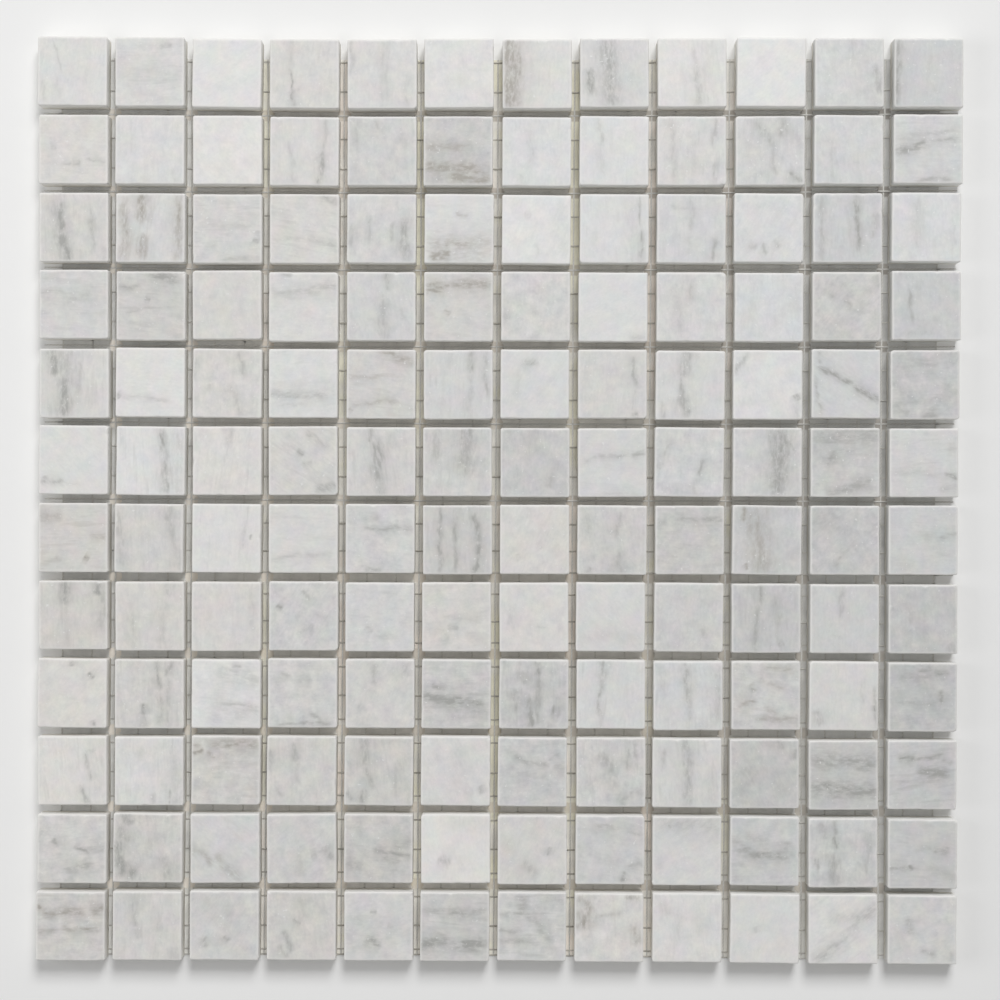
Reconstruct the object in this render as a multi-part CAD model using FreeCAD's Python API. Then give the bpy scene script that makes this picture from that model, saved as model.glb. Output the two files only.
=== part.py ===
import FreeCAD, Part
import os

# A sheet of square marble chips glued to a glass-fibre net, lying flat with its honed faces up.
# Millimetres. The origin is under the centre of the sheet, on the surface that the net lies on.
# +X runs along the rows, +Y from the last row to the first, and +Z out of the honed faces.

# Chips, sawn from 8 mm slab
CHIP_SIDE = 22.7
CHIP_THICKNESS = 8.0
CORNER_FLAT = 0.6           # flat on each upright corner, measured along the chip's side
ARRIS_FLAT = 0.3            # eased edge all round the honed face
JOINT_WIDTH = 2.7
CHIPS_PER_SIDE = 12

# Yarns of the net, flattened by the glue
YARN_WIDTH = 0.55
YARN_CROWN = 0.3            # width of the flat on a yarn's upper and lower side
YARN_THICKNESS = 0.25
YARN_FROM_CHIP_CENTRE = 4.9 # two yarns pass under each chip, this far from its centre
NET_SHORT_OF_FIRST_ROW = 5.5 # the net stops this far inside the first row's outer edge
NET_INSIDE_OTHER_EDGES = 0.2

# Low on the sheet the upper yarns have slipped towards the first row
SLIP = 3.6
SLIP_STARTS_Y = -8.0        # above this they are in step with the chips
SLIP_COMPLETE_Y = -50.0

# Worked out from these
PITCH = CHIP_SIDE + JOINT_WIDTH
SHEET_HALF = (CHIPS_PER_SIDE * PITCH - JOINT_WIDTH) / 2
CHIP_UNDERSIDE_Z = 2 * YARN_THICKNESS
CHIP_TOP_Z = CHIP_UNDERSIDE_Z + CHIP_THICKNESS
NET_TOP_Y = SHEET_HALF - NET_SHORT_OF_FIRST_ROW
NET_EDGE = SHEET_HALF - NET_INSIDE_OTHER_EDGES
TOUCHING = 1e-6


def chip_centres():
    """Centre of each chip along one side of the sheet, from the lowest to the highest."""
    first = -SHEET_HALF + CHIP_SIDE / 2
    return [first + PITCH * index for index in range(CHIPS_PER_SIDE)]


def make_chip():
    """One chip over the origin, standing at the height where it sits on the net."""
    corner = FreeCAD.Vector(-CHIP_SIDE / 2, -CHIP_SIDE / 2, CHIP_UNDERSIDE_Z)
    block = Part.makeBox(CHIP_SIDE, CHIP_SIDE, CHIP_THICKNESS, corner)
    uprights = [edge for edge in block.Edges if edge.BoundBox.ZLength > CHIP_THICKNESS / 2]
    block = block.makeChamfer(CORNER_FLAT, uprights)
    arrises = [edge for edge in block.Edges if edge.BoundBox.ZMin > CHIP_TOP_Z - TOUCHING]
    return block.makeChamfer(ARRIS_FLAT, arrises)


def make_tile_row(chip, centre_y):
    """A row of chips, one joint apart."""
    row = []
    for centre_x in chip_centres():
        placed = chip.copy()
        placed.translate(FreeCAD.Vector(centre_x, centre_y, 0))
        row.append(placed)
    return Part.makeCompound(row)


def yarn_places():
    """Where yarns lie across the sheet: two under each chip and one along each joint."""
    places = []
    for centre in chip_centres():
        places.append(centre - YARN_FROM_CHIP_CENTRE)
        places.append(centre + YARN_FROM_CHIP_CENTRE)
        places.append(centre + PITCH / 2)
    return places[:-1]


def slipped(y):
    """Where an upper yarn lies that would be at this y if it were in step with the chips."""
    share = (SLIP_STARTS_Y - y) / (SLIP_STARTS_Y - SLIP_COMPLETE_Y)
    return y + SLIP * min(max(share, 0), 1)


def make_yarn(start, length, along_x):
    """A straight yarn of flattened six-sided section, from the middle of its lower flat."""
    half_width = YARN_WIDTH / 2
    half_crown = YARN_CROWN / 2
    half_height = YARN_THICKNESS / 2
    section = [
        (-half_crown, 0),
        (half_crown, 0),
        (half_width, half_height),
        (half_crown, YARN_THICKNESS),
        (-half_crown, YARN_THICKNESS),
        (-half_width, half_height),
    ]
    section.append(section[0])
    if along_x:
        points = [start + FreeCAD.Vector(0, across, up) for across, up in section]
        run = FreeCAD.Vector(length, 0, 0)
    else:
        points = [start + FreeCAD.Vector(across, 0, up) for across, up in section]
        run = FreeCAD.Vector(0, length, 0)
    return Part.Face(Part.makePolygon(points)).extrude(run)


def make_lower_yarns():
    """Yarns that run from the last row to the first and lie on the floor."""
    length = NET_TOP_Y + NET_EDGE
    starts = [FreeCAD.Vector(x, -NET_EDGE, 0) for x in yarn_places()]
    return Part.makeCompound([make_yarn(start, length, along_x=False) for start in starts])


def make_upper_yarns():
    """Yarns that run along the rows, over the lower yarns.

    Low on the sheet they have slipped, which brings in one that would lie in the joint below the
    last row. One more runs along the net's lower edge.
    """
    edge_yarn_y = -NET_EDGE + YARN_WIDTH / 2
    below_last_row = chip_centres()[0] - PITCH / 2
    places = [edge_yarn_y] + [slipped(y) for y in [below_last_row] + yarn_places()]
    starts = [FreeCAD.Vector(-NET_EDGE, y, YARN_THICKNESS) for y in places]
    return Part.makeCompound([make_yarn(start, 2 * NET_EDGE, along_x=True) for start in starts])


def write_node(name, shape):
    """Save one node and print its size."""
    shape.exportStep("parts/" + name + ".step")
    print(name, len(shape.Solids), "solids,", round(shape.Volume), "mm3, valid:", shape.isValid())


os.makedirs("parts", exist_ok=True)
one_chip = make_chip()
for number, row_y in enumerate(reversed(chip_centres()), start=1):
    write_node("tile_row_%02d" % number, make_tile_row(one_chip, row_y))
write_node("net_warp_yarns", make_lower_yarns())
write_node("net_weft_yarns", make_upper_yarns())
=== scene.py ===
import math

import bpy
import numpy as np
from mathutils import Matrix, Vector


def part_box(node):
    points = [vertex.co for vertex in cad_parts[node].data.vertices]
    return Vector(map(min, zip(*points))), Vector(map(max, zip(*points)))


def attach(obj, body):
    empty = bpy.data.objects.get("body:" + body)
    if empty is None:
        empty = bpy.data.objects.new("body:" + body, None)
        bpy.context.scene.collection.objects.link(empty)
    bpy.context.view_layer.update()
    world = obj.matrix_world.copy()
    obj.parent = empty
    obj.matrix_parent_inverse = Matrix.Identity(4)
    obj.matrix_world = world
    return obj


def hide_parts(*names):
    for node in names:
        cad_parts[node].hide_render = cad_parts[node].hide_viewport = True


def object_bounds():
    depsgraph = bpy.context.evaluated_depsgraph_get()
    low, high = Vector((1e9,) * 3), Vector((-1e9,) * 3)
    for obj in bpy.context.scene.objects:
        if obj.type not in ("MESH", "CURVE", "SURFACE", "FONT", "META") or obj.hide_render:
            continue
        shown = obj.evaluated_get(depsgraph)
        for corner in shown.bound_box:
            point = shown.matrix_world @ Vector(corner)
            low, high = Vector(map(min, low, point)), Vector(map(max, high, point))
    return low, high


# A sheet of honed marble chips on a glass-fibre net, seen from straight above.
# Blender works in metres; the sheet's own sizes are written in millimetres.

MM = 0.001
PITCH_MM = 25.4
BODY = "root"
CHIPS_PER_ROW = 12
SEED = 2311

# Camera: height of the lens above the honed faces, and pixels in the square frame
CAMERA_HEIGHT = 0.76
PIXELS_PER_METRE = 3068
FRAME_PIXELS = 1000
SENSOR_MM = 36.0
CAMERA_X = 0.0005
CAMERA_Y = -0.0002
CAMERA_ROLL_DEG = 0.25

# Chips, millimetres
FACE_DROP = 0.10              # how far a chip's face may lie below the highest one
FACE_SLOPE = 0.0016           # how much a chip's face may rise towards a side
SIDE_LOSS = 0.20              # how much smaller a chip may be sawn
PLACE_JITTER = 0.12
TURN_JITTER_DEG = 0.25
ARRIS = 0.38                  # width of the eased edge
LEAST_ARRIS = 0.6 * ARRIS
MOST_ARRIS = 1.1              # with a nick in it
CORNER_RADIUS = 0.55
BROKEN_CORNER_RADIUS = 1.15
BROKEN_CORNER_SHARE = 0.06
CORNER_JITTER = 0.08
LEAST_CORNER, MOST_CORNER = 0.35, 0.8
NICKS_PER_CHIP = 7            # at most
NICK_DEPTHS = (0.10, 0.45)
NICK_REACHES = (0.7, 2.2)     # along the edge, in points of the outline
POINTS_PER_SIDE = 40
POINTS_PER_CORNER = 6
MOST_VEINS = 6
NO_VEIN = (100.0, 0.0, 1.0, 0.0)  # far off to the side, middle, width, and no darkness
TONE_JITTER = 0.3
WARMTH_JITTER = 0.45
WARMTH_TO_THE_RIGHT = -0.65   # chips are cooler towards the right and the first row
WARMTH_TO_THE_TOP = -0.25
FACE_FINISH, SIDE_FINISH, BACK_FINISH = 0, 1, 2
FIRST_ARRIS_RING = 3

# Net, millimetres
YARN_FROM_CHIP_CENTRE = 4.9
HALF_SLIP = 1.8               # the upper yarns have slipped by 0 to twice this
YARN_SIDES = 8
YARN_BOW = 0.10               # how far a yarn bends sideways
STEPS_BETWEEN_CROSSINGS = 4
PATTERN_STEP = 400            # how far each yarn's pattern starts after the one before
HIDDEN_BY_GLUE = 0.85         # how much of a yarn's colour glue hides at the sheet's sides
JOINT_NUMBERS = range(-5, 6)  # joints counted from the middle one
CROSSING_REACH = 2.0          # how far from the middle of a crossing its glue lies low
GLUE_STEP = 0.02              # how much lower the glue along the rows lies
GLUE_UNDERSIDE = 0.03
# Section of the dried glue in a joint: distance from its middle, height, and height where
# joints cross
GLUE_SECTION = [
    (-2.1, GLUE_UNDERSIDE, GLUE_UNDERSIDE),
    (2.1, GLUE_UNDERSIDE, GLUE_UNDERSIDE),
    (2.1, 0.44, 0.18),
    (1.25, 0.44, 0.18),
    (0.85, 0.20, 0.18),
    (-0.85, 0.20, 0.18),
    (-1.25, 0.44, 0.18),
    (-2.1, 0.44, 0.18),
]
GLUE_STATIONS = (-1.4, 1.4, 2.1, 6, 10, 15, 19, 23.3)  # from one crossing towards the next

# Floor, metres from its middle
FADES_FROM = 0.24             # from here outwards the camera sees it fade into the white around it
FADED_AT = 0.85
FLOOR_HALF_MM = 3000.0
LIGHT_PASSES_WITHIN = 0.0007  # light that starts closer to the floor than this goes through it

# Surroundings: how white the camera sees them, and how much light they give
WHITE_SEEN = 0.9
FILL_LIGHT = 0.32

# How each chip's stone looks, chip by chip along the rows, from the first row down.
# A chip's first word is the run of its grain (v upright, h level, r rising, f falling, p none)
# with how strong its streaks and its clouds are, from 0 to 3, then + or - marks for a pale or
# dark chip. Each vein follows as x1,y1,x2,y2 in millimetres from the chip's centre, then its
# width (t thread, m medium, b band, w wide) and how dark it is, from 1 to 9. A chip with brown
# veins ends in k. A line that starts with a space belongs to the chip above it.
CHIPS = """
v10+ -6.6,9.7,-3.4,0:t4 -4.5,-2,-4.5,-9:m2 -10,-3,-9.2,-10:t3
h21+ -11,.5,11,-1:w2 3.5,8.3,7,8.6:m5 -11,1.6,-5,1.4:t2 4.6,-2.4,5.6,-2.7:m3
p00++
v11 -4.3,11,-4.6,2:m3 -4.8,2,-3.6,-11:t7 -3.9,-5,-3.6,-11:m5 4.5,5.5,4.6,4.5:t2
v11+ -9.7,11,-9.8,0:m4 .4,11,.7,-11:b3 8.5,1,8,-11:m3
p01+ 3,1,10,.5:t1
v10+ -9.3,11,-9.2,2:b9 -9.9,-1.5,-9.4,-11:b9 -5.8,8,-6.4,-5:m7 -8.3,11,-8.3,-11:w8 k
v10+ -2.2,11,-1.8,1:m6 -2.4,11,-.8,-11:w7 -8,1,-8,-6.5:b8 7,9,6.7,-9:w2
v10++ 1.2,7.5,.9,0:m4 1.5,2,2.4,-11:b5 5,11,6,-11:w2 5.5,-5,4.8,-9:t3
p00++
v12 8.2,1.8,10,-6.5:b6 1.7,11,2.2,4:b3 6,11,6,-11:w2 -5,8,-4.6,-2:t1
v10- -10.2,11,-10.3,-11:m9 -9.7,11,-9.9,-11:b5 1,6.5,0,-.5:t2 .5,-2,2.3,-6.8:t2

h11 -4,-4.9,3,-3.6:t4 0,-4.3,2,-4.2:m6 4,-3.2,10.5,-4.6:t5 -6.9,.5,-6,.6:m4
v11+ 7,-6.5,8.5,-10.5:m3 -1.8,-9,-1.5,-11:b2 -5.8,5,-5.8,-1:t2
p01++
v10+ -5.7,3.5,-3.8,-2:t3 -3.8,-2,-3.5,-11:m3 7.3,11,6.4,0:m4 6.3,0,5,-11:m7
v12- -8.4,10,-8.3,2.5:b3 -1.4,9.4,-1.4,7.5:m4 5.8,8,6,3:m2
h13- -10.7,-5.6,6,-5:b9 -2.5,-8,10.5,-9.2:b9 -10.7,1,2.8,1.4:b6 -10.5,-5.9,-4,-5.3:m9
 -3,-8.6,10,-9.6:m9 0,-6.2,9,-6.8:m8 k
v11+ -2.1,7.5,-1.8,-5:m3 -5.5,-8,-4.5,-8.4:m2
v10++ -5.3,11,-4.6,1.5:m4 -4.6,1.5,-4.3,-8:m3 -5,11,-4.8,-9:b2
v21+ -6.6,11,-5.7,-11:m4 7.9,11,7,1.5:m5 7.8,-3.5,7.6,-11:m4 .6,6,.8,-10:b2
v22 -5.5,9.5,1.5,1.6:b5 4,11,3.9,5:b6 1.2,1,1.5,-8:m5 6,-7,10,-10.5:m7
v11 -5.6,3.5,-4.5,-11:m3 -9,-1,-8,-2:t2
h21 -10.5,-.8,-.5,1.9:b8 -10.5,3.8,10,6.5:m4 -1,3.4,10,2.7:m5 -5,-10.3,8,-10.3:m6

v21 -4.4,8,-3.5,-2:m9 -3.5,-2,-1.8,-11:b9 -6.5,11,-5,-11:b4 5.2,6,6.8,-8:m5
v21+ -8.2,9,-8.5,-11:b6 -2.6,11,-2.9,2.5:b8 -2.3,-2.8,-2.5,-9.5:b7 9.3,11,9.3,-11:b6 k
h31 8.8,-3.4,10,-4:m6 -7,-5,-4,-5.2:m3 -2,-9.5,11,-10.2:m4 -8,1.8,8,1.2:m3
h21 5,10.8,11,8.4:m6 -10,-3.4,1,-2.6:m3 1,-2.6,10,-5:m4 -10.5,4.8,-6,4.6:b2
v12 -10.3,.5,-10,-5:b5 -3.8,4,-4.1,-5:m4 7,3,7.9,-9.5:b7 3.2,2,3.2,-4:m5
h10+ -9,-9.6,-3,-8.2:b9 -5,-5.2,3,-4.6:b7 -10,-5.5,11,-4.5:w5 -.9,4.8,2.5,4:m5 -8,-9.2,9,-8.6:w4 k
p01++ -3.6,5,-2.3,4.3:m3 8.5,6,8,-8:w2 -.2,-5,1,-8.5:t2
v10+ 8.3,11,8.5,0:t6 8.5,0,9.4,-11:m6 5.6,11,6,-11:w2 5.2,-8,6,-11:m3
v11 .5,11,-.4,-1:m4 7.9,-3,6.6,-11:m6 -7,7.5,3,6.2:t3 -.5,-1,-1,-9:m2
p11+ -6,-5.8,-4,-6.3:m4 -1.8,-5,-1.2,-8.5:m5 2,-4.2,3.6,-6:m5
v21- 3.2,11,2.9,-7:m8 -8.5,11,-8.8,-11:m5 8,-1,8.2,-3:m5 8.5,4,9,0:b4
v11+ -3.6,10,-2.8,-7:b3 9.4,2,8.8,-11:m2

h21 -11,3.6,-3,3.7:m4 -2,1.3,5,2.3:b4 -11,1,11,1.5:w2 -10.5,9,-5,9.7:m3
h31- 0,10,8.5,8.2:b8 -11,6.1,-4,6:m6 -1.6,2.3,-.6,2:m6 -9,-2.3,9,-.4:t3
p01 1.5,11,1,-11:w1 -6,2.8,-4.8,1.8:m2
h11+ -11,4.3,0,5:b4 0,5,10.5,7:b5 9,6.8,10.5,7.3:m7 -7.5,11,-4,10.4:m5
v11 2,11,2.2,5.4:m7 .9,4,.5,-11:b5 6.5,-1,7.2,-4:m3 -9.8,2,-9.5,-5:m2
h11 -10.7,7,-3,6.8:m9 -2,7.2,10,7.2:b8 -10.7,5.3,-5,5:m8 -4.5,-1.6,-3.2,-2.4:m6 k
p03 -10.8,-2.6,-9,-4:m4 5,-2,8,-3.5:t2
p00++ 6,-9.5,10.5,-10.2:m4
v12 .1,9,-.1,1.5:m4 -4.1,4.5,-4,-9.5:b3
v11+ -5.9,10,-5.8,-10:b2 9,7,8.5,-3:b2
r23- -7.5,4.4,-4.5,2.8:m5 -.4,1.8,1.6,1.2:m6 1,-.5,6,-2.2:m3 9,9.5,10.5,7:b4
v11- -5.2,5.5,-4.9,-5.2:m6 -3,6,-2.5,3:b2 -8,-9.5,4,-8.6:m3 2,-4.5,4,-5:m3

v20+ -7.3,11,-6.1,3:b8 -3.3,2,-3.6,-11:b8 -3,11,-3,-11:w5 1.6,9,1.4,-4:m4
h10++ -11,-4,-10.2,-5:m6 -9.5,-5,-2,-4.6:m3 -2,-5,6,-6:m4
v12 3.6,10,5.5,2.5:m5 1.6,-.5,4.8,-11:m4 -11,9,-11,1:m4 -6.5,-.8,-6.2,-2.4:m3
h11++ -11,-3.8,11,-3.6:b5 -10.3,-3.7,-8.5,-3.8:m5 -3,-4.2,-1.8,-4:m5 -8,-7,4,-7.3:m3
h21 .5,11,10,7.4:b7 -10.5,1.7,0,2.7:m5 -9.3,-6.5,5.8,-5.4:m5 -9.8,-7.8,-9.2,-8.3:m5 k
v20 3.9,11,4.1,4:m7 4.1,4,3.6,-6:m4 8.6,11,9.4,-3:m5 2,-6,4,-11:b3
p00+ -4,6.5,.8,6.7:m6 -5.4,4,-5.5,-5:m2
v11 6.6,8.8,7.2,-1:m6 7.2,-1,6.3,-9:t3 6.8,-10.3,8,-10:m6
v10+ -1,11,-2.2,3:b6 -2.8,3,-2.5,-5:m6 -2.5,-4,-.8,-9.5:b7 -9.4,-6,-8.6,-11:m4
p01++ -11,3.4,-6.3,9.7:m5 9.4,-3.3,10,-4.7:m7 9.4,-5,9.2,-11:b3
f10 -8.2,11,-8.6,6:m5 -8.8,5.8,2.5,-.4:m9 2.3,-.6,11.3,-6.3:m9 -10.2,3,-7.5,-10:m5
h23-- -6,6.4,3.6,7.2:b4 -10.5,-6.4,6.5,-4.2:m4 -.5,-10.3,3.6,-10.1:b6 -8,-8,-6,-9.5:m5

h00++ -10.5,-6.8,-3.5,-7.2:m6 -8.8,-5.4,-8.2,-6.8:m5 -3.5,-7.3,2,-7.2:t2
v20++ 3.7,11,4.4,2:m8 4.4,2,5.7,-11:m7 4,11,4.8,-11:b5 9.5,11,9.5,-11:w3
v21+ 1.4,11,.7,5:m4 .7,5,-2.5,-9:t2 8,11,8,-11:b1
f21 1,8.8,8.5,5:m5 -1.6,3.2,0,2.2:m6 .2,-.5,2.6,-.4:m4 5,-9.8,11,-8.8:b6
v21 -2.8,11,-3.4,6.5:m6 -1,7,-.9,-7:b7 -.9,-7,.2,-11:b5 3.5,9,3.4,5:b3
v22 1.2,11,1.6,-2.5:m6 4,10.8,4,7.8:b7 2.7,11,2.8,-3:w6 -6.5,10,-6,1:b5
v12- -.8,11,-2.6,2:b3 7.3,0,5.1,-5:m3 5.1,-4.5,4.8,-8:m5 -9.3,10.5,-8,9:m3
h10+ -9,0,-5,2:m4 -5,2,6.2,2.4:m5 6.2,2.2,11,3.6:m6 -4,-10.6,11,-10.6:m3
v13 -6,8,-7.8,1.5:t4 4.6,1,3.2,-4:m6 2.6,-5,2.4,-11:m3 -10.2,-1,-9.3,-2:m4
v12+ .6,11,.9,6:m6 7.4,6,8.2,4.2:m6 3.5,-.5,3.7,-4:b8 4.5,11,3.2,-11:w8 2.4,11,2.2,-11:b6
h22- -6,0,-2.6,3:b7 -5.5,-10,1,-8.6:b6 1,-8.6,8.5,-6.4:b6 -11,8,11,8.5:w6 -4,2,4,4:b4
h20 7,-4,11.3,-4.7:m8 -10.5,-3,6,-3.8:m3 6,-8,10.8,-8:b4 8.5,5.2,11,5:b3

h30 -10.8,7.2,-4.5,7:b5 5.8,0,11,.4:m6 4,-6.3,4.9,-6.8:m9 -10,-8.3,-4,-7:m4 k
v21 -10.4,9,-8.3,-11:b4 6,10,8.3,0:b5 8.3,0,9.4,-4:m4 9.5,-4,9.8,-9:b3
v10++ 7.2,11,6.5,4.5:t4 6.5,4.5,5,-3:m4 8.1,1.2,8.4,-.2:t6 5,8,5,-9:w1
h10+ -9.8,-6.6,0,-6:m4 0,-6,9,-4.2:m4 -11,7,-1,6.6:m2 -3,-6.5,-2,-8.5:m2
h13 -5.3,3.1,10.8,3.6:m6 -4.8,7,-1,6.6:b4 -4.5,-10.6,.2,-10:m6 1,1,2.2,0:m2
v20- -5.5,11,-5.3,-11:m7 -.9,9.5,-.6,-11:m6 5.6,8.5,6.8,-1:m8 6.8,-1,5.6,-11:m9
p11+ 1,-1,2.2,-2.8:m3 -5.8,-5.2,-5,-6.5:m3
v12- 2.3,9,1,1.2:m5 2.2,-4,2.8,-11:b5 -8.6,8,-7.6,2:m4 -6.8,-9.3,-7.3,-11:m6
h22- -5,6.6,4,7.2:m5 4,7.4,11,6.3:m7 -10,6.3,-8,6.1:m4 -5.5,-1.8,2.5,-2.2:t3
v12 -7.5,10.5,-7.5,6:m8 -6,6.5,-4.6,0:b5 -6.8,-8,-6.2,-9.3:m7 -3.8,11,-1,-11:w6 k
r13- -5.5,9.5,-2,6.5:m4 -3.2,-8.5,-1.5,-5:m5 -1.5,-5,3.5,-1.8:m3 -9,8,-4,6:w3
h20 5.5,1.4,11,1.7:m6 0,.6,6,1.2:b3 -6,1,0,.2:m2 -10,-8,-4,-8.5:b2

v21 -3.1,10.5,-3,4:b8 8.4,11,8.3,7:b8 10.2,7,8.5,-4:b5 -2.5,4,-2,-11:b3
v11+ 5.9,11,5.4,7:b4 4.5,7,3.2,-11:b3 -5.9,3,-5.3,-11:b3
v11+ 8.3,8,8.6,-5:m3 -5.5,1.5,-5.3,-1:m2
p13 -8.2,3.4,-7.2,2.6:m8 .8,8.6,1.8,5.2:m5 2.6,-3,2.8,-6:m4 4.5,0,7,-.2:m3
h12+ -4.3,-3.4,-2.6,-4.6:m5 .6,7.7,5.2,7.3:m3 -2,-7.2,5,-6:m3
h12 -4.5,-.2,7,-.6:m3 -2.5,-3.8,.3,-3.5:m5 -4,-4,-3.5,-8.5:m3 3,-5.5,8,-5.8:m2
p01+ -7.4,3,-7.2,-3.6:m3 .8,-3.4,4,-3.4:t3
h00+ -11,-6,11,-6.6:b2
v12 4.4,-3.6,5.4,-6.6:m4 4.4,5.5,4.8,4:m2 -9,2,-9,-5:b1
v21- -2.4,11,-1.7,5:m7 -2.5,4,-4,-11:m6 3.6,7,3.8,-2:b4 4.2,-8.5,5.4,-8.2:m7
v10 -.8,10,-1.1,1:m5 -1.9,-10.5,-1.9,-11:m4 -5,-5.5,0,-6:t2
p02-- -3.9,4.5,-4.2,-1.5:m3 9,-9,10.5,-10.5:b4

p01+ .2,10,.2,9.2:m6 6,7,7,5.5:m7 7,-9,7.8,-10.4:m7 -4,0,1,-2:t2
v22 2.4,11,3.5,1:m6 3.5,1,4,-10:m5 7.6,11,6,6:m6 6,6,6,-11:m4 -1.2,-3.5,-1.4,-6.5:m8 -1.3,-6,-1.4,-11:m4
h12++ -2.3,7.4,9,7.2:m4 2,9.2,4.5,9.3:m5 -2.5,5.5,11,5:w3 -2.5,-3.2,11,-4.2:m5 -5,-6.5,11,-6:w3
h13 -8,-10.9,-1.5,-9.8:m6 -1.5,-9.8,9,-10.4:m7 2.5,-7,5.5,-9.3:m6 -6.5,6.8,-3.8,5.6:m4 -2,4,2,3.6:b3
p12 -2,9.8,-2,3:m5 7.5,9,9,6.5:b4 -7,-4,-4.5,-5.6:m3
h33 -10.6,0,-3.5,-2.8:b8 -3.5,-2.6,2.5,-2.4:b9 2,-2,8.5,-4:b8 -8,2.5,-3.2,2.3:m7 -3,-4,11,-6:w4
v33- .9,11,1.2,6:m8 1.4,6,1.2,-9:m7 -1.4,-1,-1,-11:b7 -5.8,.5,-5.8,-5:b5 -3.3,6.5,-3.2,4:b5
 6.5,-5.5,8,-6.2:b6
v20+ -2.4,11,-2.8,5.5:b5 -2.8,5.5,-3.8,-1.5:m6 -3.8,-1.5,-3.2,-7:m6 -3.3,-7,-3.2,-11:m3 4.5,11,5,-8:w1
v21+ -.8,11,.3,-4.5:m6 .3,-4.5,0,-11:m4 -.5,8,.2,-5:b3 9.4,9,10,-9:b4 -8.2,9,-8,1:b3
h23 -8.8,-3.3,-3.2,-1.4:m6 -5,3.5,-4,1.5:m5 -2,4.4,6,2.2:m4 -1,9,9.8,8.2:m5 -2.8,-7.8,11,-7:m6
 -.5,-3.6,3.2,-6.2:m5 k
v10+ 10.5,-3.2,10.4,-4.6:m9 10.3,3,10.9,-10.5:m5 -9,-5.5,-8,-9:b5 5.6,5,6,-3:t3
h22-- -8.6,5.8,4,7.2:m5 4,8,8,8.3:m7 -1.5,7.7,2.5,9.8:m6 5.9,2,6.3,-2:m7 -7.8,-1.8,6,-2.2:m4
 -8,6.2,6,7.2:b3

v20++ 7.2,7,4.7,5.6:m4 4.6,5.6,4.8,1.8:m5 4.8,1.8,6.5,-3.2:m5 2.6,-5,5.5,-11:m6 8,11,8.5,-11:w2
v21++ 8.2,9,8.4,-11:w3 10.7,3,10.8,-11:m4 6.8,-6,6.9,-11:m5 1.5,-7.5,1.8,-11:m4 -3,8,-2,4:b2
h23 -5,8.6,10.8,8.4:b7 -11,5.4,-7.6,6.3:m8 -11,8.3,-8.5,8:m7 -6,6,-3.8,4:m6 -4,5,8,6:b3 k
v12 -2.2,8.6,-2.3,3.8:b6 -1.6,3.2,-1.2,-4:m3 -10.6,6,-10.4,1:b5 -8,-6,-6,-8:m4
v22- -4.8,11,-4.5,2:b6 -4.5,2,-2,-6:m5 -4.8,-6,-5,-11:m7 -10.7,-7.4,-8.6,-9:m6 6.2,2,6.3,-6:b3
p01+ 8.3,-5,9.4,-6.6:m6 .8,7,1,-2:w2 3,-7,5.5,-7.4:m2
h23- -5.6,4.6,-1.2,3:m6 -1.2,3.4,5,2.2:m6 5,4.6,8.6,6:m4 7,1.6,11,2:m4 -6,-1,4,-2:b3
v23 -3,5.6,.6,.4:b6 .6,.4,1.4,-5:b4 5.2,8,5,1:m5 7.8,9.4,7.7,5:m5 3,-9,10,-6.3:m5 2.8,-8.6,4,-11:m5
v20+ -.1,11,0,2:b6 0,2,.2,-11:b5 -7.6,8,-8.2,1:m4 8,0,8,-11:b3
p02-- 4,10.2,5.8,8.2:m5 9.8,7.6,10.1,5.2:m6 -6,1.5,-4.4,-3.4:b4 -7.2,-5,-7,-9:b3 5.4,1,5.6,-6:b2
h21 -10.6,-3.4,-1,-4.2:b8 -1,-4.7,11,-5.6:b9 -10.6,4.8,11,4.2:w7 -10.6,-4.2,11,-5.4:w7
 -.6,-5.6,-3.3,-8:m6
h31- -7.6,5.4,-2.4,5.3:m9 -2.4,5.4,6.8,6.2:m7 -.6,.9,8.6,.3:b9 6.6,4.6,9.6,3.9:m5 -7.6,-2.3,2,-2.8:m4

h23 -6.2,2.8,-4.8,1.2:m7 1,.6,5.4,-.8:m6 5.4,.2,11,.8:m5 -2,-6.8,6.4,-6:b6 -2,-10.6,.6,-10.4:m6
v23 -8.4,10.6,-6,8:b7 -9.6,6,-6,2:b6 -10.5,1.5,-9.4,-6:b8 -8.8,-4,-8,-9:m9 -8.2,-6.6,-4.4,-8.6:b8
 5,-3,6.5,-9:b5
f11+ -10.8,-.4,-7,-2:b5 -7.2,-1.8,-4.2,-5.2:m6 -2.8,-2.4,2,-7.8:b5 2,-7.8,5.2,-11:b5 k
p02 3.4,-2.2,4.6,-2:m6 8,.2,9.6,-3:b6 9.4,-3.4,11,-3.2:m6 -1,-2,-.6,-8:b3
h23- -1.4,-.6,3.8,-1.4:m6 3.6,-1,11,-2.8:m7 5.4,1.2,11,1.6:b5 1.6,-3.4,6.4,-3.8:b5 -11,-5.4,-5.6,-6.8:b5
p00+++ -5,-3.8,-2.4,-4.8:b5 -2,8.6,11,7.4:w2 1,-3,1.4,-7:b2
p11+ 5.7,.6,5.9,-1.4:m7 -2.6,-4.6,1,-8:b5 -8,4,-7,0:b2
h12 -4.8,8,3,7.2:m5 3,7.2,10.6,4.6:m4 4.3,-7.2,4.2,-10:m7 5,-5.8,10.6,-4.8:m5
p01+ -6,8,-5.4,7.6:m6 -8,8.8,11,8.4:w4 -9,-3,-8.6,-6:m2
h22 -8,.6,-3,-.6:b6 -4.4,-1.2,7.6,-1.8:b7 6.8,-1.4,8,2.4:b5 -6,5,0,2.8:b4 -9.6,4,-8.4,1:b3
v23 -2.2,11,-2.6,5:m6 -2.6,5.4,-1.8,1.6:m9 -3.6,-1,-2.6,-11:b6 8.2,7,7.6,-8:b4 -7.4,9,-5.8,5:b5
 -9,-2,-8.4,-5:m5
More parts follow.
